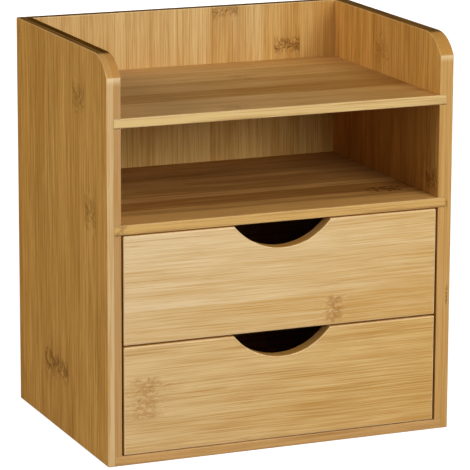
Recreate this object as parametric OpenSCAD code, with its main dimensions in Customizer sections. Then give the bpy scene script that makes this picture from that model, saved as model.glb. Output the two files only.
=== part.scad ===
// Desktop mini drawers in laminated bamboo: a low-walled tray on top, an open
// compartment under it and two equal drawers with round finger notches.
// X runs to the right, Y to the back and Z up. The origin is the centre of the base.

/* [Carcass] */
// Overall width over both side panels
overall_w = 250; // [190:1:400]
// Overall depth from the front edges to the back
overall_d = 180; // [130:1:300]
// Thickness of each side panel
side_t = 10; // [8:0.5:16]
// Thickness of the back panel
back_t = 7.5; // [5:0.5:12]
// Thickness of the tray floor
tray_floor_t = 6.5; // [5:0.5:12]
// Thickness of the middle shelf
shelf_t = 6.5; // [5:0.5:12]
// Thickness of the bottom panel
base_t = 6.5; // [5:0.5:12]
// Clear height of the open compartment
compartment_h = 64.5; // [40:0.5:160]
// Height of the side panels above the tray floor
tray_wall_h = 40.8; // [32:0.1:80]
// How deep shelves and back are let into the side panels
housing_d = 5; // [2:0.5:6]
// Radius of the rounding at the top front corner of a side panel
corner_r = 27; // [12:1:30]
// How far that rounding turns from the top edge, in degrees
corner_turn = 61; // [30:1:89]
// Rounding of the sanded edges
ease_r = 0.8; // [0.3:0.1:1.2]

/* [Drawers] */
// Height of a drawer front
front_h = 74; // [50:0.5:120]
// Thickness of a drawer front
front_t = 10; // [9:0.5:18]
// Rounding of the outer edges of a drawer front
front_ease_r = 1.4; // [0.5:0.1:2]
// Radius of the finger notch
notch_r = 44.5; // [30:0.5:60]
// Depth of the finger notch below the top edge of the front
notch_depth = 17; // [8:0.5:22]
// Thickness of the drawer sides
drawer_side_t = 8; // [6:0.5:12]
// Thickness of the drawer back
drawer_back_t = 8; // [6:0.5:12]
// Thickness of the thin drawer bottom
drawer_bottom_t = 4; // [3:0.5:6]
// Depth of the groove that holds the drawer bottom
groove_d = 4; // [2:0.5:4]
// Height of that groove above the lower edge of the drawer sides
groove_up = 6; // [4:0.5:8]
// How deep the drawer back is let into the drawer sides
rebate_d = 4; // [2:0.5:4]

/* [Runners] */
// Width of a runner strip, from the side panel inwards
runner_w = 10; // [9:0.5:16]
// Height of a runner strip
runner_h = 6; // [5:0.5:12]

/* [Dowels and pins] */
// Diameter of the dowels between a drawer front and its sides
dowel_d = 5; // [3:0.5:5]
// Depth of a dowel in the drawer front
dowel_in_front = 6; // [4:0.5:7.5]
// Depth of a dowel in the end of a drawer side
dowel_in_side = 12; // [8:0.5:20]
// Distance of the dowels from the drawer bottom and from the top of the drawer sides
dowel_edge = 10; // [6:0.5:12]
// Diameter of the pins that hold the runner strips
pin_d = 1.2; // [1:0.1:2]
// Depth of a pin in the side panel
pin_bite = 6; // [3:0.5:7]
// Distance of the pins from the ends of the runner strips
pin_inset = 20; // [8:1:40]

/* [Clearances] */
// Gap between a drawer front and each side panel
side_gap = 1.3; // [1:0.1:2.5]
// Gap between the upper drawer front and the middle shelf
top_gap = 0.8; // [0.5:0.1:2]
// Gap between the two drawer fronts
mid_gap = 1; // [0.6:0.1:2]
// Gap between the lower drawer front and the bottom panel
low_gap = 0.4; // [0.3:0.1:1]
// Gap between a drawer and what it slides on
slide_gap = 0.2; // [0.1:0.05:0.3]
// Gap between the lower drawer's sides and the runner strips over them
over_gap = 1.5; // [1:0.5:4]
// Gap between the closed lower drawer's front and the ends of the runner strips
end_gap = 1; // [0.5:0.1:3]
// Gap between a closed drawer and the back panel that stops it
stop_gap = 0.5; // [0.3:0.1:2]
// Room for glue around every fixed joint
glue_gap = 0.05; // [0.02:0.01:0.1]

/* [Hidden] */
$fn = 96;
bamboo_board = [0.79, 0.62, 0.38];
bamboo_side = [0.68, 0.50, 0.27];
bamboo_strip = [0.85, 0.70, 0.46];
steel = [0.66, 0.66, 0.67];
// Excess of a cutter past the face that it cuts
over = 1;

inner_w = overall_w - 2 * side_t;
front_y = -overall_d / 2;
back_y = overall_d / 2;
back_face_y = back_y - back_t;
// Width of the boards that are let into both side panels
housed_w = inner_w + 2 * (housing_d - glue_gap);

// Heights, from the base up
low_front_z = base_t + low_gap;
up_front_z = low_front_z + front_h + mid_gap;
shelf_z = up_front_z + front_h + top_gap;
tray_floor_z = shelf_z + shelf_t + compartment_h;
overall_h = tray_floor_z + tray_floor_t + tray_wall_h;

// A drawer, measured from the lower edge of its front
drawer_w = inner_w - 2 * side_gap;
drawer_inner_w = drawer_w - 2 * drawer_side_t;
box_y = front_y + front_t;
box_end_y = back_face_y - stop_gap;
box_drop = low_gap - slide_gap;
box_h = front_h + mid_gap - slide_gap - runner_h - over_gap;
bottom_z = groove_up - box_drop;
dowel_x = drawer_w / 2 - drawer_side_t / 2;
dowel_low_z = groove_up + drawer_bottom_t + dowel_edge - box_drop;
dowel_high_z = box_h - dowel_edge - box_drop;

runner_z = up_front_z - box_drop - slide_gap - runner_h;
runner_y = box_y + end_gap;
pin_places = [runner_y + pin_inset, back_face_y - pin_inset];

// A rectangle from the origin with each of its four corners rounded
module eased_rect(size, r) {
    quadrants = [[0, 0, 180], [1, 0, 270], [1, 1, 0], [0, 1, 90]];
    difference() {
        square(size);
        for (q = quadrants)
            translate([q[0] ? size[0] - r : r, q[1] ? size[1] - r : r])
                rotate(q[2])
                    difference() {
                        square(r + over);
                        circle(r);
                    }
    }
}

// Extrudes a profile drawn in Y and Z along X
module along_x(length) {
    rotate([90, 0, 90]) linear_extrude(length) children();
}

// Extrudes a profile drawn in X and Z along Y
module along_y(length) {
    translate([0, length, 0]) rotate([90, 0, 0]) linear_extrude(length) children();
}

// A board from the origin with every edge eased
module eased_board(size, r = ease_r) {
    intersection() {
        linear_extrude(size[2]) eased_rect([size[0], size[1]], r);
        along_y(size[1]) eased_rect([size[0], size[2]], r);
        along_x(size[0]) eased_rect([size[1], size[2]], r);
    }
}

// A board from the origin that is eased along its front edges only
module shelf_board(size, r = ease_r) {
    intersection() {
        cube(size);
        along_x(size[0]) eased_rect([size[1] + 2 * r, size[2]], r);
    }
}

// A round disc that stands on its rim across X, with an eased rim
module eased_disc(radius, thickness, r = ease_r) {
    rotate([0, 90, 0]) rotate_extrude()
        intersection() {
            translate([-radius, 0]) eased_rect([2 * radius, thickness], r);
            square([radius, thickness]);
        }
}

// The outline of a side panel, with its top front corner rounded
module side_board() {
    run = corner_r * sin(corner_turn);
    arc_y = front_y + run;
    arc_z = overall_h - corner_r;
    size = [side_t, overall_d, overall_h];
    intersection() {
        translate([0, front_y, 0]) linear_extrude(overall_h) eased_rect([side_t, overall_d], ease_r);
        union() {
            difference() {
                translate([0, front_y, 0]) eased_board(size);
                translate([-over, front_y - over, arc_z])
                    cube([side_t + 2 * over, run + over, corner_r + over]);
            }
            intersection() {
                translate([0, arc_y, arc_z]) eased_disc(corner_r, side_t);
                translate([-over, front_y - over, arc_z])
                    cube([side_t + 2 * over, run + over, corner_r + over]);
            }
        }
    }
}

// A housing across the inner face of a side panel for a board of the given thickness
module housing(z, thickness) {
    translate([side_t - housing_d, front_y - over, z - glue_gap])
        cube([housing_d + over, overall_d + 2 * over, thickness + 2 * glue_gap]);
}

// Side panel with its inner face towards +X: housings for the boards, a rebate for
// the back and blind holes for the runner pins
module side_panel() {
    difference() {
        side_board();
        housing(tray_floor_z, tray_floor_t);
        housing(shelf_z, shelf_t);
        translate([side_t - housing_d, front_y - over, -over])
            cube([housing_d + over, overall_d + 2 * over, over + base_t + glue_gap]);
        translate([side_t - housing_d, back_face_y - glue_gap, -over])
            cube([housing_d + over, back_t + glue_gap + over, overall_h + 2 * over]);
        for (y = pin_places)
            translate([side_t - pin_bite - glue_gap, y, runner_z + runner_h / 2])
                rotate([0, 90, 0]) cylinder(d = pin_d + 2 * glue_gap, h = pin_bite + over);
    }
}

module left_side() {
    color(bamboo_side) translate([-overall_w / 2, 0, 0]) side_panel();
}

module right_side() {
    color(bamboo_side) mirror([1, 0, 0]) translate([-overall_w / 2, 0, 0]) side_panel();
}

module back_panel() {
    color(bamboo_side)
        translate([-housed_w / 2, back_face_y, 0])
            eased_board([housed_w, back_t, overall_h]);
}

// Board let into both side panels and butted against the back panel
module housed_board(z, thickness) {
    translate([-housed_w / 2, front_y, z])
        shelf_board([housed_w, overall_d - back_t - glue_gap, thickness]);
}

module tray_floor() {
    color(bamboo_board) housed_board(tray_floor_z, tray_floor_t);
}

module middle_shelf() {
    color(bamboo_board) housed_board(shelf_z, shelf_t);
}

module bottom_panel() {
    color(bamboo_board) housed_board(0, base_t);
}

// Strip on the left side panel that carries the upper drawer
module runner() {
    difference() {
        translate([-inner_w / 2 + glue_gap, runner_y, runner_z])
            cube([runner_w - glue_gap, back_face_y - glue_gap - runner_y, runner_h]);
        for (y = pin_places)
            translate([-inner_w / 2 - over, y, runner_z + runner_h / 2])
                rotate([0, 90, 0]) cylinder(d = pin_d + 2 * glue_gap, h = runner_w + 2 * over);
    }
}

module left_runner() {
    color(bamboo_strip) runner();
}

module right_runner() {
    color(bamboo_strip) mirror([1, 0, 0]) runner();
}

module runner_pins() {
    color(steel)
        for (m = [0, 1], y = pin_places)
            mirror([m, 0, 0])
                translate([-inner_w / 2 - pin_bite, y, runner_z + runner_h / 2])
                    rotate([0, 90, 0]) cylinder(d = pin_d, h = pin_bite + runner_w);
}

// Cutter for a finger notch, flared at both faces so that its rim comes out eased
module notch_cutter() {
    rotate([-90, 0, 0]) rotate_extrude() {
        translate([0, -over]) square([notch_r, front_t + 2 * over]);
        difference() {
            translate([0, -over]) square([notch_r + ease_r, ease_r + over]);
            translate([notch_r + ease_r, ease_r]) circle(ease_r);
        }
        difference() {
            translate([0, front_t - ease_r]) square([notch_r + ease_r, ease_r + over]);
            translate([notch_r + ease_r, front_t - ease_r]) circle(ease_r);
        }
    }
}

// Drawer parts are drawn with the lower edge of the drawer front at Z = 0

module drawer_front() {
    groove_w = drawer_inner_w + 2 * groove_d;
    difference() {
        translate([-drawer_w / 2, front_y, 0]) eased_board([drawer_w, front_t, front_h], front_ease_r);
        translate([0, front_y, front_h - notch_depth + notch_r]) notch_cutter();
        translate([-groove_w / 2, box_y - groove_d, bottom_z - glue_gap])
            cube([groove_w, groove_d + over, drawer_bottom_t + 2 * glue_gap]);
        for (x = [-dowel_x, dowel_x], z = [dowel_low_z, dowel_high_z])
            translate([x, box_y - dowel_in_front - glue_gap, z])
                rotate([-90, 0, 0]) cylinder(d = dowel_d + 2 * glue_gap, h = dowel_in_front + over);
    }
}

// Drawer side with its inner face towards +X
module drawer_side() {
    length = box_end_y - box_y - glue_gap;
    difference() {
        translate([-drawer_w / 2, box_y + glue_gap, -box_drop])
            eased_board([drawer_side_t, length, box_h]);
        translate([-drawer_w / 2 + drawer_side_t - groove_d, box_y - over, bottom_z - glue_gap])
            cube([groove_d + over, length + 2 * over, drawer_bottom_t + 2 * glue_gap]);
        translate([-drawer_w / 2 + drawer_side_t - rebate_d, box_end_y - drawer_back_t - glue_gap,
            -box_drop - over])
            cube([rebate_d + over, drawer_back_t + glue_gap + over, box_h + 2 * over]);
        for (z = [dowel_low_z, dowel_high_z])
            translate([-dowel_x, box_y - over, z])
                rotate([-90, 0, 0])
                    cylinder(d = dowel_d + 2 * glue_gap, h = dowel_in_side + glue_gap + over);
    }
}

module drawer_back() {
    width = drawer_inner_w + 2 * (rebate_d - glue_gap);
    difference() {
        translate([-width / 2, box_end_y - drawer_back_t, -box_drop])
            eased_board([width, drawer_back_t, box_h]);
        translate([-width / 2 - over, box_end_y - drawer_back_t - over, bottom_z - glue_gap])
            cube([width + 2 * over, groove_d + over, drawer_bottom_t + 2 * glue_gap]);
    }
}

module drawer_bottom() {
    reach = groove_d - glue_gap;
    width = drawer_inner_w + 2 * min(groove_d, rebate_d) - 2 * glue_gap;
    length = box_end_y - drawer_back_t - box_y + 2 * reach;
    translate([-width / 2, box_y - reach, bottom_z])
        cube([width, length, drawer_bottom_t]);
}

module drawer_dowels() {
    for (x = [-dowel_x, dowel_x], z = [dowel_low_z, dowel_high_z])
        translate([x, box_y - dowel_in_front, z])
            rotate([-90, 0, 0]) cylinder(d = dowel_d, h = dowel_in_front + dowel_in_side);
}

module upper_drawer_front() {
    color(bamboo_board) translate([0, 0, up_front_z]) drawer_front();
}

module upper_drawer_left_side() {
    color(bamboo_strip) translate([0, 0, up_front_z]) drawer_side();
}

module upper_drawer_right_side() {
    color(bamboo_strip) translate([0, 0, up_front_z]) mirror([1, 0, 0]) drawer_side();
}

module upper_drawer_back() {
    color(bamboo_strip) translate([0, 0, up_front_z]) drawer_back();
}

module upper_drawer_bottom() {
    color(bamboo_board) translate([0, 0, up_front_z]) drawer_bottom();
}

module upper_drawer_dowels() {
    color(bamboo_strip) translate([0, 0, up_front_z]) drawer_dowels();
}

module lower_drawer_front() {
    color(bamboo_board) translate([0, 0, low_front_z]) drawer_front();
}

module lower_drawer_left_side() {
    color(bamboo_strip) translate([0, 0, low_front_z]) drawer_side();
}

module lower_drawer_right_side() {
    color(bamboo_strip) translate([0, 0, low_front_z]) mirror([1, 0, 0]) drawer_side();
}

module lower_drawer_back() {
    color(bamboo_strip) translate([0, 0, low_front_z]) drawer_back();
}

module lower_drawer_bottom() {
    color(bamboo_board) translate([0, 0, low_front_z]) drawer_bottom();
}

module lower_drawer_dowels() {
    color(bamboo_strip) translate([0, 0, low_front_z]) drawer_dowels();
}

left_side();
right_side();
back_panel();
tray_floor();
middle_shelf();
bottom_panel();
left_runner();
right_runner();
runner_pins();
upper_drawer_front();
upper_drawer_left_side();
upper_drawer_right_side();
upper_drawer_back();
upper_drawer_bottom();
upper_drawer_dowels();
lower_drawer_front();
lower_drawer_left_side();
lower_drawer_right_side();
lower_drawer_back();
lower_drawer_bottom();
lower_drawer_dowels();
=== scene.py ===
"""Desktop mini drawers: laminated bamboo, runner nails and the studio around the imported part."""
import math
import random
from collections import namedtuple

import bmesh
import bpy
from bpy.props import FloatProperty, FloatVectorProperty, PointerProperty
from mathutils import Euler, Matrix, Vector


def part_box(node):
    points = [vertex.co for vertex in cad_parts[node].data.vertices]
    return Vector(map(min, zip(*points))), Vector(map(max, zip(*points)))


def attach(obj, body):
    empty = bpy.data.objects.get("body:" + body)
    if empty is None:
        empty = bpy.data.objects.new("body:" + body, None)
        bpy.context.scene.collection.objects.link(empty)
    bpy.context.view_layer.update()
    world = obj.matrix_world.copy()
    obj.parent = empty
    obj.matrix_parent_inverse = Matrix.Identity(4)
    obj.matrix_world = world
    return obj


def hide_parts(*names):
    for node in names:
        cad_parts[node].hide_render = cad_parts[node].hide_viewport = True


bl_info = {
    "name": "Bamboo Mini Drawers",
    "version": (1, 0, 0),
    "blender": (4, 5, 0),
    "location": "3D View > Sidebar > Mini Drawers",
    "description": "Bamboo finishes, joinery and a studio for a set of desktop mini drawers",
    "category": "Object",
}

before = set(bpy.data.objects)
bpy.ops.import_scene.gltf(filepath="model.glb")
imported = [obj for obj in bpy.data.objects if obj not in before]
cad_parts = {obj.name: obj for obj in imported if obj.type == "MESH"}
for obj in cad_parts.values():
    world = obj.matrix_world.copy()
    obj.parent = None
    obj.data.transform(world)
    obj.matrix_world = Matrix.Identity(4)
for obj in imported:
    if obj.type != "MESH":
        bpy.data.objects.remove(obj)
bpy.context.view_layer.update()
MM = 0.001

# How a board's own axes (along the grain, across it, through it) are turned out of the frame's, in degrees
LIES_FLAT = (0, 0, 0)
ACROSS_UPRIGHT = (-90, 0, 0)
SIDE_UPRIGHT = (0, 90, 0)
BACK_UPRIGHT = (90, 0, 90)
DRAWER_SIDE = (-90, -90, 0)
FRONT_TO_BACK = (0, 0, -90)

# The boards of a drawer box: how each is turned, and its width across the grain in millimetres
BOX_BOARDS = {"left_side": (DRAWER_SIDE, 67), "right_side": (DRAWER_SIDE, 67),
              "back": (ACROSS_UPRIGHT, 67), "bottom": (LIES_FLAT, 158)}
BOX_STRIP_WIDTH = 20
# A strip is its width in millimetres, its tone (0 pale, 1 deep) and its warmth
DOWEL_STRIPS = [(5, 0.5, 0.2)]
RUNNER_STRIPS = [(10, 0.5, 0.2)]

# A stem joint in one strip: its middle and its reach along, across and through the board and the width
# of the cells in its net, all in millimetres, and its strength
Joint = namedtuple("Joint", "middle reach cell strength")

# Sizes of the patterns along, across and through a board, in millimetres
WANDER = (150.0, 60.0, 1.0)
BROAD_STREAK = (350.0, 11.0)
LONG_LINE = (380.0, 5.0)
CLOUD = (38.0, 8.0, 8.0)
HUE = (160.0, 6.0, 6.0)
EDGE_FIBRE = (55.0, 1.4, 0.8)
EDGE_BAND = (120.0, 9.0, 3.0)
END_PORE = (1.0, 0.9, 0.6)
END_LAYER = (1.0, 60.0, 0.9)
BUNDLE_LENGTH = 14.0
BUNDLE_DEPTH = 1.1
RAGGED_LENGTH = 60.0
JOINT_DEPTH = 4.0
TAIL_LENGTH = 26.0
TAIL_DEPTH = 3.0
# Sizes in a joint as a share of its cell's width
CELL_LENGTH = 2.9
TAIL_WIDTH = 0.42
# How far along the stem the fibres of another strip, board and layer start, in millimetres
STRIP_START = 700.0
BOARD_START = 97.3
LAYER_START = 310.0

# How strongly each pattern deepens a face, and the shift that keeps its mean tone
FINE_SHARE = 0.62
MEDIUM_SHARE = 0.18
BROAD_SHARE = 0.8
CLOUD_SHARE = 0.6
THREAD_SHARE = 0.45
TONE_SHIFT = -0.06
HUE_SHARE = 0.4
# How much of the joints' dark colour each mark takes
DASH_SHARE = 0.10
LINE_SHARE = 0.22
TAIL_SHARE = 0.20
NET_SHARE = 0.62
GLUE_SHARE = 0.22
# How much of the arris colour the painted highlight below a round corner's kink takes, and of the pore colour
# each mark in a cut end
HIGHLIGHT_SHARE = 0.6
PORE_SHARE = 0.25
LAYER_SHARE = 0.55
END_GLUE_SHARE = 0.5
# Where the noise of fine streaks turns from pale to deep
STREAK_STEP = (0.34, 0.66)
WARM_TINT = (1.0, 0.945, 0.76, 1.0)
LACQUER = 0.025
WOOD_ROUGHNESS = 0.42

# The profile of a nail's head: shares of its radius and depths under the runner's face in millimetres
NAIL_HEAD = ((1.0, 0.15), (0.92, -0.02), (0.5, 0.06), (0.0, 0.08))
NAIL_STEPS = 20
SCRATCH = (0.08 * MM, 0.4 * MM, 0.4 * MM)

# Where the photo was taken from, in metres, and how the camera is turned, in radians
CAMERA_PLACE = (-0.793202, -1.899925, 0.604001)
CAMERA_YAW = 0.3967572
CAMERA_PITCH = 0.2124268
CAMERA_ROLL = 0.0035817
SENSOR_WIDTH = 36.0
FARTHEST_SEEN = 50.0

# Each lamp: its name, its place and its size in metres, and the studio setting of its brightness
LAMPS = (("Key lamp", (0.45, -2.6, 1.2), 1.4, "key"),
         ("Fill lamp", (-2.4, 0.1, 1.3), 1.2, "fill"),
         ("Rear lamp", (0.7, 2.6, 0.15), 0.8, "rear"),
         ("Right lamp", (2.6, 0.5, 0.12), 0.8, "right"))
LAMPS_AIM = Vector((0.0, 0.0, 0.14))

WHITE = (1.0, 1.0, 1.0, 1.0)
FLOOR_GREY = (0.4, 0.4, 0.4, 1.0)
FLOOR_GLOW = 0.88
FLOOR_HALF_WIDTH = 12.0


def srgb(red, green, blue):
    """A colour as a paint chart gives it (0-255), as Blender's linear colour."""
    def linear(value):
        value /= 255
        return value / 12.92 if value <= 0.04045 else ((value + 0.055) / 1.055) ** 2.4
    return (linear(red), linear(green), linear(blue), 1.0)


def colour_prop(name, description, red, green, blue):
    return FloatVectorProperty(name=name, description=description, subtype="COLOR", size=4,
                               min=0.0, max=1.0, default=srgb(red, green, blue))


def length_prop(name, description, default, least, most):
    return FloatProperty(name=name, description=description, unit="LENGTH", precision=5,
                         default=default, min=least, max=most)


def light_prop(name, description, default):
    return FloatProperty(name=name, description=description, default=default, min=0.0)


class BambooColours(bpy.types.PropertyGroup):
    side_pale: colour_prop("Side, pale", "Lightest streaks of the side panels", 220, 166, 88)
    side_deep: colour_prop("Side, deep", "Deepest streaks of the side panels", 180, 127, 56)
    back_pale: colour_prop("Back, pale", "Lightest streaks of the back panel", 219, 186, 128)
    back_deep: colour_prop("Back, deep", "Deepest streaks of the back panel", 180, 134, 70)
    tray_pale: colour_prop("Tray, pale", "Lightest streaks of the tray floor", 216, 173, 113)
    tray_deep: colour_prop("Tray, deep", "Deepest streaks of the tray floor", 164, 115, 58)
    shelf_pale: colour_prop("Shelf, pale", "Lightest streaks of the middle shelf", 216, 167, 98)
    shelf_deep: colour_prop("Shelf, deep", "Deepest streaks of the middle shelf", 150, 104, 52)
    upper_pale: colour_prop("Upper front, pale", "Lightest streaks of the upper drawer front", 226, 199, 154)
    upper_deep: colour_prop("Upper front, deep", "Deepest streaks of the upper drawer front", 200, 157, 94)
    lower_pale: colour_prop("Lower front, pale", "Lightest streaks of the lower drawer front", 219, 187, 134)
    lower_deep: colour_prop("Lower front, deep", "Deepest streaks of the lower drawer front", 188, 143, 80)
    box_pale: colour_prop("Box, pale", "Lightest streaks of the drawer boxes", 216, 174, 112)
    box_deep: colour_prop("Box, deep", "Deepest streaks of the drawer boxes", 184, 135, 74)
    edge_pale: colour_prop("Edge, pale", "Front edges of the outer layer of the left panel", 213, 180, 129)
    edge_orange: colour_prop("Edge, orange", "Front edges of the inner layer of the left panel", 189, 148, 97)
    edge_golden: colour_prop("Edge, golden", "Front edges of the right panel", 199, 156, 94)
    notch_edge: colour_prop("Front edge, drawer", "Cut edges and notch of the drawer fronts", 192, 138, 64)
    tray_edge: colour_prop("Tray edge", "Front edge of the tray floor", 219, 187, 127)
    shelf_edge: colour_prop("Shelf edge", "Front edge of the middle shelf", 210, 168, 102)
    bottom_edge: colour_prop("Bottom edge", "Front edge of the bottom panel", 200, 156, 98)
    joint: colour_prop("Joint", "Fibres where a bamboo stem had a joint", 108, 64, 20)
    joint_pale: colour_prop("Pale joint", "The same on the pale drawer fronts", 166, 116, 60)
    end_outer: colour_prop("End grain, outer", "Cut ends of the outer layer", 138, 98, 46)
    end_inner: colour_prop("End grain, inner", "Cut ends of the inner layer", 102, 66, 18)
    end_pale: colour_prop("End grain, pale", "Cut ends of the pale drawer boards", 188, 144, 84)
    end_pore: colour_prop("End pore", "Fibre bundles in a cut end", 38, 20, 2)
    # the arris colour is a painted highlight along the eased edges of the boards, and below the kink of a
    # round corner
    arris_highlight: colour_prop("Arris highlight", "Sanded edges of the boards", 240, 214, 168)
    steel: colour_prop("Steel", "Nails that hold the runners", 176, 172, 164)
    steel_dull: colour_prop("Steel, dull", "Dull streaks of the nails", 120, 112, 102)


class GrainSizes(bpy.types.PropertyGroup):
    fibre: length_prop("Fibre width", "Width of the finest streaks", 0.65 * MM, 0.2 * MM, 4 * MM)
    fibre_length: length_prop("Fibre length", "Length of the finest streaks", 62 * MM, 5 * MM, 400 * MM)
    glue_line: length_prop("Glue line", "Half of the width of the dark line between two layers",
                           0.3 * MM, 0.0, 2 * MM)
    relief: length_prop("Relief", "Height of the grain under the lacquer", 0.12 * MM, 0.0, 1 * MM)


class StudioSettings(bpy.types.PropertyGroup):
    lens: FloatProperty(name="Lens", description="Focal length of the camera in millimetres", default=232.98)
    shift: FloatProperty(name="Rise", description="Vertical shift of the camera", default=-0.0957)
    key: light_prop("Key", "Brightness of the large lamp in front", 0.8)
    fill: light_prop("Fill", "Brightness of the lamp at the left", 0.4)
    rear: light_prop("Rear", "Brightness of the low lamp behind", 0.55)
    right: light_prop("Right", "Brightness of the low lamp at the right", 0.32)
    room: light_prop("Room", "Brightness of the room around", 0.2)


class NailSizes(bpy.types.PropertyGroup):
    shank: length_prop("Shank", "Radius of a nail's shank", 0.6 * MM, 0.3 * MM, 1 * MM)
    head: length_prop("Head", "Radius of a nail's head", 1.15 * MM, 0.8 * MM, 2 * MM)
    countersink: length_prop("Countersink", "Depth of the cone under the head", 0.5 * MM, 0.2 * MM, 1 * MM)
    point: length_prop("Point", "Length of a nail's point", 2 * MM, 1 * MM, 4 * MM)


class NodeBench:
    """Puts nodes on a tree, with values or other nodes' sockets as their inputs."""

    def __init__(self, tree):
        self.tree = tree

    def put(self, node, key, value):
        if isinstance(value, bpy.types.NodeSocket):
            self.tree.links.new(value, node.inputs[key])
        else:
            node.inputs[key].default_value = value

    def add(self, kind, inputs=None, **settings):
        node = self.tree.nodes.new(kind)
        for name, value in settings.items():
            setattr(node, name, value)
        for key, value in (inputs or {}).items():
            self.put(node, key, value)
        return node

    def give(self, node, *values):
        """Links the values to a node's inputs, in order."""
        for socket, value in zip(node.inputs, values):
            self.tree.links.new(value, socket)

    def maths(self, operation, *values, clamp=False):
        return self.add("ShaderNodeMath", dict(enumerate(values)), operation=operation,
                        use_clamp=clamp).outputs[0]

    def total(self, *values):
        result = values[0]
        for value in values[1:]:
            result = self.maths("ADD", result, value)
        return result

    def product(self, *values):
        result = values[0]
        for value in values[1:]:
            result = self.maths("MULTIPLY", result, value)
        return result

    def less(self, value, taken):
        return self.maths("SUBTRACT", value, taken)

    def size_of(self, value):
        return self.maths("ABSOLUTE", value)

    def swing(self, value, amount):
        """A pattern of 0 to 1 as a change about nought, of that size."""
        return self.product(self.less(value, 0.5), amount)

    def ramp(self, value, low, high, to_low=0.0, to_high=1.0):
        """A smooth step of value, from low to high."""
        return self.add("ShaderNodeMapRange", {"Value": value, "From Min": low, "From Max": high,
                                               "To Min": to_low, "To Max": to_high},
                        interpolation_type="SMOOTHSTEP").outputs["Result"]

    def parts(self, vector):
        return tuple(self.add("ShaderNodeSeparateXYZ", {0: vector}).outputs)

    def scaled(self, values, sizes):
        """A vector of the values, each divided by its size."""
        shares = [self.maths("DIVIDE", value, size) for value, size in zip(values, sizes)]
        return self.add("ShaderNodeCombineXYZ", dict(enumerate(shares))).outputs[0]

    def noise(self, vector, detail, roughness):
        return self.add("ShaderNodeTexNoise", {"Vector": vector, "Scale": 1.0, "Detail": detail,
                                               "Roughness": roughness}, noise_dimensions="3D").outputs[0]

    def cells(self, vector, feature="F1", randomness=1.0):
        return self.add("ShaderNodeTexVoronoi", {"Vector": vector, "Scale": 1.0, "Randomness": randomness},
                        feature=feature, voronoi_dimensions="3D").outputs["Distance"]

    def blend(self, factor, first, second, kind="MIX"):
        node = self.add("ShaderNodeMix", data_type="RGBA", blend_type=kind, clamp_factor=True)
        for key, value in ((0, factor), (6, first), (7, second)):
            self.put(node, key, value)
        return node.outputs[2]


def clear_bench(owner):
    """A bench for the emptied tree of a material or of the room."""
    owner.use_nodes = True
    owner.node_tree.nodes.clear()
    return NodeBench(owner.node_tree)


def group_tree(name, vectors, colours, amounts, results):
    """A bench for a new node group with those inputs and results, and its first and last nodes."""
    tree = bpy.data.node_groups.new(name, "ShaderNodeTree")
    for kind, labels in (("Vector", vectors), ("Color", colours), ("Float", amounts)):
        for label in labels:
            tree.interface.new_socket(label, in_out="INPUT", socket_type="NodeSocket" + kind)
    for label in results:
        kind = "Color" if label == "Color" else "Float"
        tree.interface.new_socket(label, in_out="OUTPUT", socket_type="NodeSocket" + kind)
    bench = NodeBench(tree)
    return bench, bench.add("NodeGroupInput").outputs, bench.add("NodeGroupOutput")


def joint_group():
    """One stem joint in one strip: a net of dark fibres, tails along the grain and the fibres' swirl."""
    name = "Bamboo joint"
    if name in bpy.data.node_groups:
        return bpy.data.node_groups[name]
    bench, given, out = group_tree(name, ("Position", "Middle", "Reach"), (), ("Cell", "Strength"),
                                   ("Net", "Tails", "Swirl"))
    cell = given["Cell"]
    reach = bench.parts(given["Reach"])
    off = [bench.less(at, middle)
           for at, middle in zip(bench.parts(given["Position"]), bench.parts(given["Middle"]))]
    along, across, through = off
    shares = [bench.maths("DIVIDE", way, most) for way, most in zip(off, reach)]
    ragged = bench.noise(bench.scaled(off, (RAGGED_LENGTH, cell, JOINT_DEPTH)), 2.0, 0.7)
    far_along = bench.size_of(bench.total(shares[0], bench.swing(ragged, 1.7)))
    inside = bench.product(bench.ramp(bench.size_of(shares[1]), 1.05, 0.85),
                           bench.ramp(bench.size_of(shares[2]), 1.1, 0.9))
    # the fibres wind round the joint
    bend = bench.noise(bench.scaled(off, (reach[0], cell, JOINT_DEPTH)), 2.0, 0.6)
    swirl = bench.product(bench.swing(bend, 2.6), cell, bench.ramp(far_along, 3.2, 0.6), inside)
    bent = (along, bench.total(across, swirl), through)
    # the net is broken here and there, and lies in a faint shade
    cell_length = bench.product(cell, CELL_LENGTH)
    mesh = bench.cells(bench.scaled(bent, (cell_length, cell, JOINT_DEPTH)), "DISTANCE_TO_EDGE")
    broken = bench.ramp(bench.noise(bench.scaled(bent, (cell, cell, cell)), 2.0, 0.7), 0.36, 0.56)
    shade = bench.product(bench.ramp(far_along, 1.6, 0.2), 0.09)
    net = bench.maths("ADD", bench.product(bench.ramp(mesh, 0.30, 0.09), broken), shade, clamp=True)
    net = bench.product(net, bench.ramp(far_along, 1.6, 0.6), inside, given["Strength"])
    # thin tails run out of it on both sides
    tail_width = bench.product(cell, TAIL_WIDTH)
    tails = bench.noise(bench.scaled(bent, (TAIL_LENGTH, tail_width, TAIL_DEPTH)), 1.0, 0.5)
    tails = bench.product(bench.ramp(tails, 0.46, 0.62), bench.ramp(far_along, 4.5, 0.4), inside,
                          given["Strength"])
    bench.give(out, net, tails, swirl)
    return bench.tree


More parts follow.
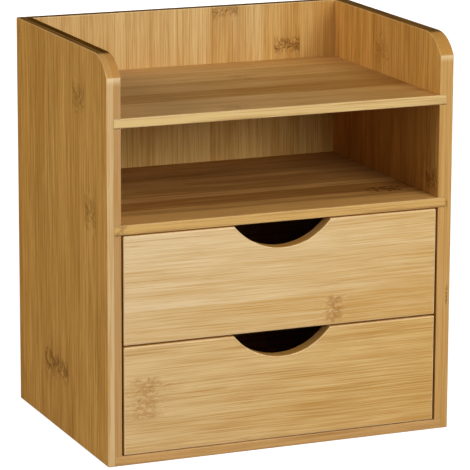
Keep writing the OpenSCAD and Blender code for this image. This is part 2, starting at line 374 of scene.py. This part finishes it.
class BoardPlace:
    """Where a point lies in a board, in millimetres, and what its strip and its layer are."""

    def __init__(self, bench, given):
        self.bench = bench
        self.coarse = given["Coarse"]
        self.along, self.across, self.through = bench.parts(given["Position"])
        strip = bench.add("ShaderNodeSeparateColor", {0: given["Strip"]}).outputs
        self.strip_tone = strip["Red"]
        self.strip_warmth = strip["Green"]
        self.layer = bench.ramp(self.through, -0.2, 0.2)
        # each layer and each strip is another piece of stem, so its fibres are its own
        far_layer = bench.product(bench.maths("GREATER_THAN", self.through, 0.0), given["Ply"])
        start = bench.total(bench.product(strip["Blue"], STRIP_START),
                            bench.product(given["Seed"], BOARD_START), bench.product(far_layer, LAYER_START))
        self.run = bench.total(self.along, start)
        wander = bench.noise(bench.scaled((self.run, self.across, given["Seed"]), WANDER), 2.0, 0.5)
        self.fibre = bench.total(self.across, bench.product(bench.swing(wander, 2.0), given["Wave"]),
                                 given["Swirl"])

    def along_fibres(self, sizes):
        return self.bench.scaled((self.run, self.fibre, self.through), sizes)

    def spots(self, sizes, detail=1.0, roughness=0.5):
        """Soft spots that follow the fibres."""
        return self.bench.noise(self.along_fibres(sizes), detail, roughness)

    def streaks(self, length, width, detail=1.0, roughness=0.5):
        """Streaks that follow the fibres, wider in a coarse board."""
        return self.spots((length, self.bench.product(self.coarse, width), width * 2), detail, roughness)

    def straight(self, sizes, detail=1.0, roughness=0.5):
        """Streaks that don't follow the fibres' waves."""
        vector = self.bench.scaled((self.run, self.across, self.through), sizes)
        return self.bench.noise(vector, detail, roughness)

    def crosswise(self, sizes):
        """A vector that is the same all along the board, as a cut end shows it."""
        return self.bench.scaled((0.0, self.across, self.through), sizes)


def face_colour(place, given, fine, broad, dash):
    """The broad faces: streaks in strips of their own tone and warmth, with fine dark marks."""
    bench = place.bench
    grain = bpy.context.scene.drawer_grain
    length, width = grain.fibre_length / MM, grain.fibre / MM
    medium = bench.ramp(place.streaks(length * 2.4, width * 2.5, 2.0), *STREAK_STEP)
    # threads: long thin dark fibres with crisp sides
    thread = bench.ramp(place.streaks(length * 1.5, width * 1.3, 1.0, 0.4), 0.60, 0.70)
    change = bench.total(bench.swing(fine, FINE_SHARE), bench.swing(medium, MEDIUM_SHARE),
                         bench.swing(broad, BROAD_SHARE), bench.swing(place.spots(CLOUD), CLOUD_SHARE),
                         bench.product(thread, THREAD_SHARE), TONE_SHIFT)
    laid = bench.product(bench.less(place.strip_tone, 0.5), given["Strips"])
    # the tone drifts along the board: a painted sheen, paler towards one end
    change = bench.total(bench.product(change, given["Streaks"]), laid,
                         bench.product(place.along, given["Sheen drift"]))
    face = bench.blend(bench.maths("ADD", change, 0.5, clamp=True), given["Pale"], given["Deep"])
    # the warmth drifts along the board as painted light: a sheen on the fronts and shelves, a warm shade low
    # on the back panel
    warmth = bench.total(bench.product(place.strip_warmth, given["Strips"]),
                         bench.swing(place.spots(HUE, 2.0), HUE_SHARE),
                         bench.product(place.along, given["Light warmth drift"]))
    warmth = bench.maths("ADD", warmth, given["Warm"], clamp=True)
    face = bench.blend(warmth, face, bench.blend(1.0, face, WARM_TINT, "MULTIPLY"))
    # long fine lines lie where a broad noise crosses its mean
    line = bench.ramp(bench.size_of(bench.less(place.streaks(*LONG_LINE, 1.0, 0.4), 0.5)), 0.014, 0.0)
    marks = bench.total(bench.product(dash, DASH_SHARE), bench.product(line, LINE_SHARE),
                        bench.product(given["Tails"], TAIL_SHARE))
    return bench.blend(marks, face, given["Joint"])


def edge_colour(place, given, glue, endways):
    """The long edges: the sides of the strips, in one or two layers."""
    bench = place.bench
    fine = bench.ramp(place.straight(EDGE_FIBRE, 2.0, 0.6), 0.38, 0.62, -0.15, 0.45)
    broad = bench.swing(place.straight(EDGE_BAND), BROAD_SHARE)
    # the edges drift in tone like the faces: a painted sheen
    drift = bench.product(place.along, given["Sheen drift"], 1.2)
    edge = bench.blend(place.layer, given["Edge near"], given["Edge far"])
    edge = bench.blend(bench.maths("ADD", bench.total(fine, broad), drift, clamp=True), edge, given["Deep"])
    edge = bench.blend(bench.product(glue, GLUE_SHARE), edge, given["Joint"])
    # a painted highlight on the front edge, just below the kink of a round corner
    edge = bench.blend(bench.product(given["Sanded"], HIGHLIGHT_SHARE), edge, given["Arris highlight"])
    # a round corner deepens where it turns towards the cut end
    return bench.blend(bench.ramp(endways, 0.3, 0.6, 0.0, 0.7), edge, given["Deep"])


def end_colour(place, given, glue):
    """The cut ends: pores and layers of fibre bundles."""
    bench = place.bench
    pores = bench.ramp(bench.cells(place.crosswise(END_PORE), randomness=0.9), 0.5, 0.2)
    layers = bench.ramp(bench.noise(place.crosswise(END_LAYER), 2.0, 0.6), 0.42, 0.60)
    end = bench.blend(place.layer, given["End near"], given["End far"])
    marks = bench.total(bench.product(pores, PORE_SHARE), bench.product(layers, LAYER_SHARE),
                        bench.product(glue, END_GLUE_SHARE))
    return bench.blend(marks, end, given["End pore"])


def bamboo_group():
    """Lacquered bamboo strips, from a place in millimetres and a facing, both in the board's own axes."""
    name = "Bamboo board"
    if name in bpy.data.node_groups:
        return bpy.data.node_groups[name]
    grain = bpy.context.scene.drawer_grain
    bench, given, out = group_tree(
        name, ("Position", "Facing"),
        ("Strip", "Pale", "Deep", "Edge near", "Edge far", "End near", "End far", "Joint", "End pore",
         "Arris highlight"),
        ("Net", "Tails", "Swirl", "Strips", "Streaks", "Coarse", "Wave", "Sheen drift", "Warm", "Light warmth drift",
         "Ply", "Sanded", "Rim highlight", "Seed"),
        ("Color", "Roughness", "Height", "Gloss"))
    place = BoardPlace(bench, given)
    endways, _, flat = [bench.size_of(part) for part in bench.parts(given["Facing"])]
    fine = bench.ramp(place.streaks(grain.fibre_length / MM, grain.fibre / MM, 2.0, 0.6), *STREAK_STEP)
    broad = place.streaks(*BROAD_STREAK)
    # fibre bundles: thin short dashes
    bundles = bench.cells(place.along_fibres((BUNDLE_LENGTH, place.coarse, BUNDLE_DEPTH)))
    dash = bench.ramp(bundles, 0.40, 0.14)
    glue = bench.ramp(bench.size_of(place.through), grain.glue_line * 2 / MM, 0.0)
    glue = bench.product(glue, given["Ply"])
    # 1 on the cut ends, 0 on the faces and the long edges
    cut = bench.ramp(endways, 0.965, 0.995)
    uncut = bench.less(1.0, cut)
    net = bench.product(given["Net"], uncut)
    colour = bench.blend(bench.ramp(flat, 0.80, 0.45), face_colour(place, given, fine, broad, dash),
                         edge_colour(place, given, glue, endways))
    colour = bench.blend(cut, colour, end_colour(place, given, glue))
    colour = bench.blend(bench.product(net, NET_SHARE), colour, given["Joint"])
    # a painted highlight on the arris round the flat faces, strongest half way round the bend
    square = bench.product(flat, flat)
    arris_highlight = bench.product(square, bench.less(1.0, square), 4.0, bench.ramp(flat, 0.35, 0.7), given["Rim highlight"])
    colour = bench.blend(arris_highlight, colour, given["Arris highlight"])
    rough = bench.total(bench.swing(fine, 0.10), bench.swing(broad, 0.12), bench.product(cut, 0.15),
                        WOOD_ROUGHNESS)
    height = bench.total(bench.product(fine, 0.6), bench.product(dash, -0.4), bench.product(net, -0.6))
    bench.give(out, colour, rough, height, bench.product(uncut, LACQUER))
    return bench.tree


def strip_layout(bench, across, width, strips, seed):
    """Colours that hold each strip's tone, its warmth and a random start of its fibres."""
    layout = bench.add("ShaderNodeValToRGB", {0: bench.maths("MULTIPLY_ADD", across, 1 / width, 0.5)})
    layout.color_ramp.interpolation = "CONSTANT"
    stops = layout.color_ramp.elements
    total = sum(strip[0] for strip in strips)
    luck = random.Random(round(seed * 1000))
    done = 0.0
    for number, (strip_width, tone, warmth) in enumerate(strips):
        stop = stops[number] if number < 2 else stops.new(done / total)
        stop.position = done / total
        stop.color = (tone, warmth, luck.random(), 1.0)
        done += strip_width
    return layout.outputs[0]


def joint_marks(bench, position, joints):
    """The nets, tails and swirls of all joints of a board together."""
    marks = {}
    for joint in joints:
        knot = bench.add("ShaderNodeGroup", node_tree=joint_group())
        for key, value in (("Position", position), ("Middle", joint.middle), ("Reach", joint.reach),
                           ("Cell", joint.cell), ("Strength", joint.strength)):
            bench.put(knot, key, value)
        for key, join in (("Net", "MAXIMUM"), ("Tails", "MAXIMUM"), ("Swirl", "ADD")):
            mark = knot.outputs[key]
            marks[key] = bench.maths(join, marks[key], mark) if key in marks else mark
    return marks


def painted_highlight(bench, along, across, height, reach):
    """A painted highlight on the front edge, below the kink of a round corner: it starts at that height and
    fades over its reach, in millimetres.
    """
    below = bench.less(height, along)
    return bench.product(bench.ramp(below, reach, 0.0), bench.ramp(below, -0.8, 0.2),
                         bench.maths("LESS_THAN", across, 0.0))


def board_finish(name, node, turn, pale, deep, strips, joints=(), edges=None, ends=None, joint=None,
                 strip_contrast=0.6, streaks=1.0, coarse=1.0, wave=1.5, drift=0.0, warm=0.0, light_warmth_drift=0.0,
                 ply=0.0, rim=0.35, highlighted=None, seed=1.0):
    """Material of one board, from its strips across the grain and its stem joints."""
    colours = bpy.context.scene.drawer_colours
    low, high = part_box(node)
    angles = [math.radians(degrees) for degrees in turn]
    turned = Euler(angles).to_matrix()
    centre = turned @ ((low + high) / 2)
    width = abs((turned @ (high - low))[1]) / MM
    material = bpy.data.materials.new(name)
    bench = clear_bench(material)
    coordinates = bench.add("ShaderNodeTexCoord").outputs
    position = bench.add("ShaderNodeMapping", {"Vector": coordinates["Object"], "Rotation": angles,
                                               "Location": -centre / MM, "Scale": (1 / MM,) * 3},
                         vector_type="POINT").outputs[0]
    facing = bench.add("ShaderNodeMapping", {"Vector": coordinates["Normal"], "Rotation": angles},
                       vector_type="VECTOR").outputs[0]
    along, across, _ = bench.parts(position)
    near, far = edges or (pale, pale)
    end_near, end_far = ends or (colours.end_outer, colours.end_outer)
    given = {"Position": position, "Facing": facing,
             "Strip": strip_layout(bench, across, width, strips, seed), "Pale": pale, "Deep": deep,
             "Edge near": near, "Edge far": far, "End near": end_near, "End far": end_far,
             "Joint": joint or colours.joint, "End pore": colours.end_pore, "Arris highlight": colours.arris_highlight,
             "Strips": strip_contrast, "Streaks": streaks, "Coarse": coarse, "Wave": wave, "Sheen drift": drift,
             "Warm": warm, "Light warmth drift": light_warmth_drift, "Ply": ply, "Rim highlight": rim, "Seed": seed}
    given.update(joint_marks(bench, position, joints))
    # a painted highlight below the kink of the round corner
    if highlighted:
        given["Sanded"] = painted_highlight(bench, along, across, *highlighted)
    board = bench.add("ShaderNodeGroup", given, node_tree=bamboo_group()).outputs
    bump = bench.add("ShaderNodeBump", {"Strength": 0.4, "Distance": bpy.context.scene.drawer_grain.relief,
                                        "Height": board["Height"]}).outputs[0]
    surface = bench.add("ShaderNodeBsdfPrincipled", {
        "Base Color": board["Color"], "Roughness": board["Roughness"], "Normal": bump, "IOR": 1.5,
        "Specular IOR Level": 0.0, "Coat Weight": board["Gloss"], "Coat Roughness": 0.3, "Coat IOR": 1.5,
        "Coat Normal": bump})
    bench.add("ShaderNodeOutputMaterial", {"Surface": surface.outputs[0]})
    return material


def dress(node, material):
    """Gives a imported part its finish."""
    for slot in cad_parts[node].material_slots:
        slot.material = material


def even_strips(board_width, strip_width, seed):
    """Strips of about one width with tones of their own."""
    luck = random.Random(seed)
    count = max(1, round(board_width / strip_width))
    return [(strip_width * luck.uniform(0.85, 1.15), 0.5 + luck.uniform(-0.5, 0.5), luck.random())
            for _ in range(count)]


def dress_plainly(node, name, turn, strips, seed):
    """Gives a part of the drawer boxes or a runner its plainer bamboo."""
    colours = bpy.context.scene.drawer_colours
    dress(node, board_finish(name, node, turn, colours.box_pale, colours.box_deep, strips,
                             ends=(colours.end_pale,) * 2, seed=seed))


def place_camera(scene, studio):
    """The camera, where the photo was taken from."""
    data = bpy.data.cameras.new("Camera")
    data.lens = studio.lens
    data.sensor_width = SENSOR_WIDTH
    data.shift_y = studio.shift
    data.clip_end = FARTHEST_SEEN
    camera = bpy.data.objects.new("Camera", data)
    scene.collection.objects.link(camera)
    level = math.cos(CAMERA_PITCH)
    forward = Vector((math.sin(CAMERA_YAW) * level, math.cos(CAMERA_YAW) * level, -math.sin(CAMERA_PITCH)))
    right = Vector((math.cos(CAMERA_YAW), -math.sin(CAMERA_YAW), 0.0))
    up = right.cross(forward)
    rolled_right = right * math.cos(CAMERA_ROLL) + up * math.sin(CAMERA_ROLL)
    rolled_up = up * math.cos(CAMERA_ROLL) - right * math.sin(CAMERA_ROLL)
    turned = Matrix((rolled_right, rolled_up, -forward)).transposed().to_4x4()
    camera.matrix_world = Matrix.Translation(CAMERA_PLACE) @ turned
    scene.camera = camera


def hang_lamp(scene, name, place, size, level):
    """A square lamp that lights the drawers to that level, however far it hangs."""
    towards = LAMPS_AIM - Vector(place)
    light = bpy.data.lights.new(name, "AREA")
    light.size = size
    light.energy = level * math.pi ** 2 * towards.length_squared
    lamp = bpy.data.objects.new(name, light)
    lamp.rotation_euler = towards.to_track_quat("-Z", "Y").to_euler()
    lamp.location = place
    scene.collection.objects.link(lamp)


def seen_strength(bench, unseen, seen):
    """One strength for what the camera sees, also in a mirror or through glass, and one for other light."""
    path = bench.add("ShaderNodeLightPath").outputs
    ray = bench.maths("MAXIMUM", path["Is Camera Ray"],
                      bench.maths("MAXIMUM", path["Is Glossy Ray"], path["Is Transmission Ray"]))
    return bench.ramp(ray, 0.0, 1.0, unseen, seen)


def make_room(scene, brightness):
    """A dim even room that looks white."""
    world = bpy.data.worlds.new("Room")
    bench = clear_bench(world)
    strength = seen_strength(bench, brightness, 1.0)
    room = bench.add("ShaderNodeBackground", {"Color": WHITE, "Strength": strength})
    bench.add("ShaderNodeOutputWorld", {"Surface": room.outputs[0]})
    scene.world = world


def floor_finish():
    """Pale grey under the light, and white to the camera."""
    material = bpy.data.materials.new("Pale floor")
    bench = clear_bench(material)
    diffuse = bench.add("ShaderNodeBsdfDiffuse", {"Color": FLOOR_GREY})
    strength = seen_strength(bench, 0.0, FLOOR_GLOW)
    glow = bench.add("ShaderNodeEmission", {"Color": WHITE, "Strength": strength})
    both = bench.add("ShaderNodeAddShader", {0: diffuse.outputs[0], 1: glow.outputs[0]})
    bench.add("ShaderNodeOutputMaterial", {"Surface": both.outputs[0]})
    return material


def lay_floor(scene):
    """A wide flat floor for the drawers' shadow."""
    mesh = bmesh.new()
    bmesh.ops.create_grid(mesh, x_segments=1, y_segments=1, size=FLOOR_HALF_WIDTH)
    data = bpy.data.meshes.new("Floor")
    mesh.to_mesh(data)
    mesh.free()
    data.materials.append(floor_finish())
    floor = bpy.data.objects.new("Floor", data)
    scene.collection.objects.link(floor)


class MINIDRAWERS_OT_stage(bpy.types.Operator):
    """Camera, lamps, floor and room"""
    bl_idname = "minidrawers.stage"
    bl_label = "Studio"

    def execute(self, context):
        scene = context.scene
        studio = scene.drawer_studio
        place_camera(scene, studio)
        for name, place, size, setting in LAMPS:
            hang_lamp(scene, name, place, size, getattr(studio, setting))
        make_room(scene, studio.room)
        lay_floor(scene)
        scene.view_settings.view_transform = "Standard"
        return {"FINISHED"}


class MINIDRAWERS_OT_sides(bpy.types.Operator):
    """Bamboo of the two side panels"""
    bl_idname = "minidrawers.sides"
    bl_label = "Side panels"

    def execute(self, context):
        colours = context.scene.drawer_colours
        # strips run from the front edge to the rear edge
        dress("left_side", board_finish(
            "Left side bamboo", "left_side", SIDE_UPRIGHT, colours.side_pale, colours.side_deep,
            [(24, 0.45, 0.2), (22, 0.25, 0.1), (17, 0.40, 0.2), (16, 0.70, 0.1), (13, 0.45, 0.2),
             (30, 0.75, 0.0), (32, 0.85, 0.2), (12, 0.55, 1.0), (5, 0.75, 0.0), (9, 0.90, 1.0)],
            joints=[Joint((102.0, -37.0, 2.6), (7.5, 12.0, 3.0), 4.0, 0.75),
                    Joint((28.5, -58.0, 2.6), (8.5, 11.0, 3.0), 4.0, 0.7),
                    Joint((-93.0, 11.0, 2.6), (6.5, 25.0, 3.0), 4.8, 1.0),
                    Joint((22.0, -87.0, -3.0), (3.0, 8.0, 2.6), 1.8, 0.7)],
            edges=(colours.edge_orange, colours.edge_pale), ends=(colours.end_inner, colours.end_outer),
            # painted highlights: a faint one on the arris, and one on the front edge below the round corner
            coarse=2.9, streaks=0.88, ply=1.0, rim=0.15, highlighted=(123.6, 6.0), seed=1.0))
        dress("right_side", board_finish(
            "Right side bamboo", "right_side", SIDE_UPRIGHT, colours.side_pale, colours.side_deep,
            [(22, 0.10, 0.3), (24, 0.35, 0.4), (20, 0.45, 0.3), (22, 0.32, 0.3), (22, 0.45, 0.3),
             (20, 0.32, 0.3), (24, 0.50, 0.3), (16, 0.10, 0.2), (10, 0.50, 0.3)],
            joints=[Joint((113.0, 2.5, 2.6), (7.0, 11.0, 3.0), 4.5, 0.4),
                    Joint((36.0, -79.0, 2.6), (7.0, 9.0, 3.0), 4.0, 0.9),
                    Joint((62.0, 34.0, -2.6), (6.5, 11.0, 3.0), 4.5, 0.9),
                    Joint((-58.0, -28.0, -2.6), (6.5, 12.0, 3.0), 4.5, 0.9),
                    Joint((21.0, -89.0, -1.4), (2.6, 3.0, 0.8), 0.9, 1.2),
                    Joint((-43.0, -89.0, -2.4), (6.0, 3.0, 0.7), 0.9, 1.2)],
            # painted highlights: a faint one on the arris, and one on the front edge below the round corner
            edges=(colours.edge_golden,) * 2, coarse=2.9, streaks=0.92, ply=1.0, rim=0.15,
            highlighted=(123.6, 5.0), seed=2.0))
        return {"FINISHED"}


class MINIDRAWERS_OT_back(bpy.types.Operator):
    """Bamboo of the back panel"""
    bl_idname = "minidrawers.back"
    bl_label = "Back panel"

    def execute(self, context):
        colours = context.scene.drawer_colours
        # strips run from the left edge to the right edge
        dress("back_panel", board_finish(
            "Back bamboo", "back_panel", BACK_UPRIGHT, colours.back_pale, colours.back_deep,
            [(22, 0.50, 0.1), (22, 0.46, 0.2), (20, 0.50, 0.1), (20, 0.40, 0.0), (11, 0.53, 0.1),
             (17, 0.33, 0.0), (5, 0.46, 0.2), (20, 0.30, 0.0), (17, 0.66, 0.4), (9, 0.50, 0.1),
             (16, 0.40, 0.1), (19, 0.56, 0.9), (10, 0.83, 1.0), (10, 0.60, 1.0), (22, 0.83, 1.0)],
            joints=[Joint((107.0, 77.6, -3.7), (4.0, 10.5, 3.0), 2.6, 1.25),
                    Joint((136.5, 29.0, -3.7), (5.0, 10.5, 3.0), 2.6, 0.9),
                    Joint((24.0, -61.0, 3.7), (5.5, 11.0, 3.0), 3.2, 1.0),
                    Joint((-78.0, 38.0, 3.7), (5.5, 12.0, 3.0), 3.2, 0.9)],
            ends=(colours.end_inner, colours.end_outer), strip_contrast=0.95, streaks=0.85, ply=1.0,
            # warmth rises towards the bottom of the panel: painted warm shade for the compartment under the
            # tray floor
            warm=1.75, light_warmth_drift=-0.015, seed=3.0))
        return {"FINISHED"}


class MINIDRAWERS_OT_shelves(bpy.types.Operator):
    """Bamboo of the tray floor, the middle shelf and the bottom panel"""
    bl_idname = "minidrawers.shelves"
    bl_label = "Shelves"

    def execute(self, context):
        colours = context.scene.drawer_colours
        # strips run from the front edge to the rear edge
        dress("tray_floor", board_finish(
            "Tray floor bamboo", "tray_floor", LIES_FLAT, colours.tray_pale, colours.tray_deep,
            [(46, 0.45, 0.0), (28, 0.85, 0.4), (34, 0.60, 0.3), (34, 0.36, 0.3), (30, 0.16, 0.3)],
            joints=[Joint((16.0, 25.0, 2.6), (7.0, 11.0, 3.0), 3.5, 0.3),
                    Joint((-32.0, -74.0, 2.6), (7.0, 9.0, 3.0), 3.0, 0.4)],
            edges=(colours.tray_edge,) * 2, strip_contrast=0.9, streaks=0.55, wave=4.0,
            # tone and warmth drift along the board: a painted sheen, paler and less golden at the left
            drift=0.0010, warm=0.2, light_warmth_drift=0.008, seed=5.0))
        dress("middle_shelf", board_finish(
            "Middle shelf bamboo", "middle_shelf", LIES_FLAT, colours.shelf_pale, colours.shelf_deep,
            [(24, 0.00, 0.3), (14, 0.50, 0.3), (24, 1.00, 0.5), (12, 0.50, 0.0), (34, 0.90, 0.0),
             (30, 0.72, 0.0), (34, 0.62, 0.0)],
            joints=[Joint((94.0, -46.0, 2.6), (12.0, 8.0, 3.0), 3.5, 1.8),
                    Joint((-116.0, -86.0, 1.0), (4.0, 6.0, 5.0), 2.6, 0.7)],
            edges=(colours.shelf_edge,) * 2, strip_contrast=0.9, streaks=0.8, wave=4.0,
            # tone and warmth drift along the board: a painted sheen, paler and less golden at the left
            drift=0.0008, warm=0.1, light_warmth_drift=0.001, seed=6.0))
        dress("bottom_panel", board_finish(
            "Bottom panel bamboo", "bottom_panel", LIES_FLAT, colours.shelf_pale, colours.shelf_deep,
            [(58, 0.4, 0.1), (60, 0.6, 0.6), (54, 0.6, 0.6)],
            edges=(colours.bottom_edge,) * 2, wave=4.0, seed=7.0))
        return {"FINISHED"}


class MINIDRAWERS_OT_fronts(bpy.types.Operator):
    """Bamboo of the drawer fronts"""
    bl_idname = "minidrawers.fronts"
    bl_label = "Drawer fronts"

    def execute(self, context):
        colours = context.scene.drawer_colours
        # the fronts get a stronger painted highlight on their arris
        shared = {"joint": colours.joint_pale, "edges": (colours.notch_edge,) * 2,
                  "ends": (colours.end_pale,) * 2, "wave": 1.8, "rim": 0.6}
        # strips run from the lower edge to the upper edge
        dress("upper_drawer_front", board_finish(
            "Upper front bamboo", "upper_drawer_front", ACROSS_UPRIGHT,
            colours.upper_pale, colours.upper_deep, [(22, 0.75, 0.2), (28, 0.45, 0.0), (24, 0.30, 0.0)],
            joints=[Joint((37.8, -26.0, 4.0), (5.0, 9.5, 4.0), 2.3, 1.15)],
            # tone and warmth drift along the front: a painted sheen, paler and less golden at the left
            streaks=0.88, drift=0.0016, warm=0.3, light_warmth_drift=0.0025, seed=9.0, **shared))
        dress("lower_drawer_front", board_finish(
            "Lower front bamboo", "lower_drawer_front", ACROSS_UPRIGHT,
            colours.lower_pale, colours.lower_deep, [(22, 0.60, 0.2), (26, 0.50, 0.1), (26, 0.40, 0.2)],
            joints=[Joint((-98.0, 1.0, 4.0), (7.5, 15.0, 4.0), 2.4, 0.8)],
            # tone and warmth drift along the front: a painted sheen, paler and less golden at the left
            drift=0.0014, warm=0.35, light_warmth_drift=0.005, seed=10.0, **shared))
        return {"FINISHED"}


class MINIDRAWERS_OT_boxes(bpy.types.Operator):
    """Bamboo of the drawer boxes, their dowels and the runner strips"""
    bl_idname = "minidrawers.boxes"
    bl_label = "Drawer boxes and runners"

    def execute(self, context):
        for number, drawer in enumerate(("upper_drawer", "lower_drawer")):
            for seed, (part, (turn, width)) in enumerate(BOX_BOARDS.items(), 20 + 10 * number):
                node = f"{drawer}_{part}"
                dress_plainly(node, node.replace("_", " ") + " bamboo", turn,
                              even_strips(width, BOX_STRIP_WIDTH, seed), seed)
            dress_plainly(f"{drawer}_dowels", f"{drawer} dowel wood", FRONT_TO_BACK, DOWEL_STRIPS,
                          18 + number)
        for seed, node in enumerate(("left_runner", "right_runner"), 40):
            dress_plainly(node, node.replace("_", " ") + " bamboo", FRONT_TO_BACK, RUNNER_STRIPS, seed)
        return {"FINISHED"}


def nail_mesh(sizes, tip_x, face_x):
    """A headed nail along X, from its tip in the side panel to its head, flush with the runner's face."""
    profile = [(0.0, tip_x), (sizes.shank, tip_x - sizes.point), (sizes.shank, face_x + sizes.countersink)]
    profile += [(sizes.head * share, face_x + depth * MM) for share, depth in NAIL_HEAD]
    nail = bmesh.new()
    points = [nail.verts.new((x, 0.0, radius)) for radius, x in profile]
    for first, second in zip(points, points[1:]):
        nail.edges.new((first, second))
    bmesh.ops.spin(nail, geom=nail.verts[:] + nail.edges[:], cent=(0, 0, 0), axis=(1, 0, 0),
                   angle=math.tau, steps=NAIL_STEPS, use_merge=True)
    bmesh.ops.remove_doubles(nail, verts=nail.verts, dist=1e-6)
    return nail


def nail_steel(colours):
    """Bright wire with fine scratches."""
    material = bpy.data.materials.new("Nail steel")
    bench = clear_bench(material)
    coordinates = bench.add("ShaderNodeTexCoord").outputs["Object"]
    scratches = bench.noise(bench.scaled(bench.parts(coordinates), SCRATCH), 3.0, 0.6)
    colour = bench.blend(bench.ramp(scratches, 0.35, 0.7), colours.steel, colours.steel_dull)
    bump = bench.add("ShaderNodeBump", {"Strength": 0.3, "Distance": 0.02 * MM, "Height": scratches})
    surface = bench.add("ShaderNodeBsdfPrincipled", {
        "Base Color": colour, "Metallic": 1.0, "Roughness": bench.ramp(scratches, 0.3, 0.7, 0.28, 0.5),
        "Normal": bump.outputs[0]})
    bench.add("ShaderNodeOutputMaterial", {"Surface": surface.outputs[0]})
    return material


class MINIDRAWERS_OT_nails(bpy.types.Operator):
    """Small steel nails that hold the runner strips to the side panels"""
    bl_idname = "minidrawers.nails"
    bl_label = "Runner nails"

    def execute(self, context):
        sizes = context.scene.drawer_nails
        low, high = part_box("runner_pins")
        face_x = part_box("right_runner")[0].x
        middle_z = (low.z + high.z) / 2
        all_nails = bmesh.new()
        for side in (-1, 1):
            for y in (low.y + sizes.shank, high.y - sizes.shank):
                nail = nail_mesh(sizes, high.x, face_x)
                bmesh.ops.scale(nail, vec=(side, 1, 1), verts=nail.verts)
                bmesh.ops.translate(nail, vec=(0.0, y, middle_z), verts=nail.verts)
                bmesh.ops.recalc_face_normals(nail, faces=nail.faces)
                loose = bpy.data.meshes.new("nail")
                nail.to_mesh(loose)
                nail.free()
                all_nails.from_mesh(loose)
                bpy.data.meshes.remove(loose)
        data = bpy.data.meshes.new("runner_nails")
        all_nails.to_mesh(data)
        all_nails.free()
        data.materials.append(nail_steel(context.scene.drawer_colours))
        nails = bpy.data.objects.new("runner_nails", data)
        context.scene.collection.objects.link(nails)
        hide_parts("runner_pins")
        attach(nails, "cabinet")
        return {"FINISHED"}


class MINIDRAWERS_PT_panel(bpy.types.Panel):
    """Lists the pieces of the drawers"""
    bl_label = "Mini Drawers"
    bl_space_type = "VIEW_3D"
    bl_region_type = "UI"
    bl_category = "Mini Drawers"

    def draw(self, context):
        for operator in OPERATORS:
            self.layout.operator(operator.bl_idname)


OPERATORS = (MINIDRAWERS_OT_stage, MINIDRAWERS_OT_sides, MINIDRAWERS_OT_back, MINIDRAWERS_OT_shelves,
             MINIDRAWERS_OT_fronts, MINIDRAWERS_OT_boxes, MINIDRAWERS_OT_nails)
SETTINGS = {"drawer_colours": BambooColours, "drawer_grain": GrainSizes, "drawer_studio": StudioSettings,
            "drawer_nails": NailSizes}


def register():
    for cls in (*SETTINGS.values(), *OPERATORS, MINIDRAWERS_PT_panel):
        bpy.utils.register_class(cls)
    for name, group in SETTINGS.items():
        setattr(bpy.types.Scene, name, PointerProperty(type=group))


def unregister():
    for name in SETTINGS:
        delattr(bpy.types.Scene, name)
    for cls in reversed((*SETTINGS.values(), *OPERATORS, MINIDRAWERS_PT_panel)):
        bpy.utils.unregister_class(cls)


def main():
    register()
    bpy.ops.minidrawers.stage()
    bpy.ops.minidrawers.sides()
    bpy.ops.minidrawers.back()
    bpy.ops.minidrawers.shelves()
    bpy.ops.minidrawers.fronts()
    bpy.ops.minidrawers.boxes()
    bpy.ops.minidrawers.nails()


if __name__ == "__main__":
    main()
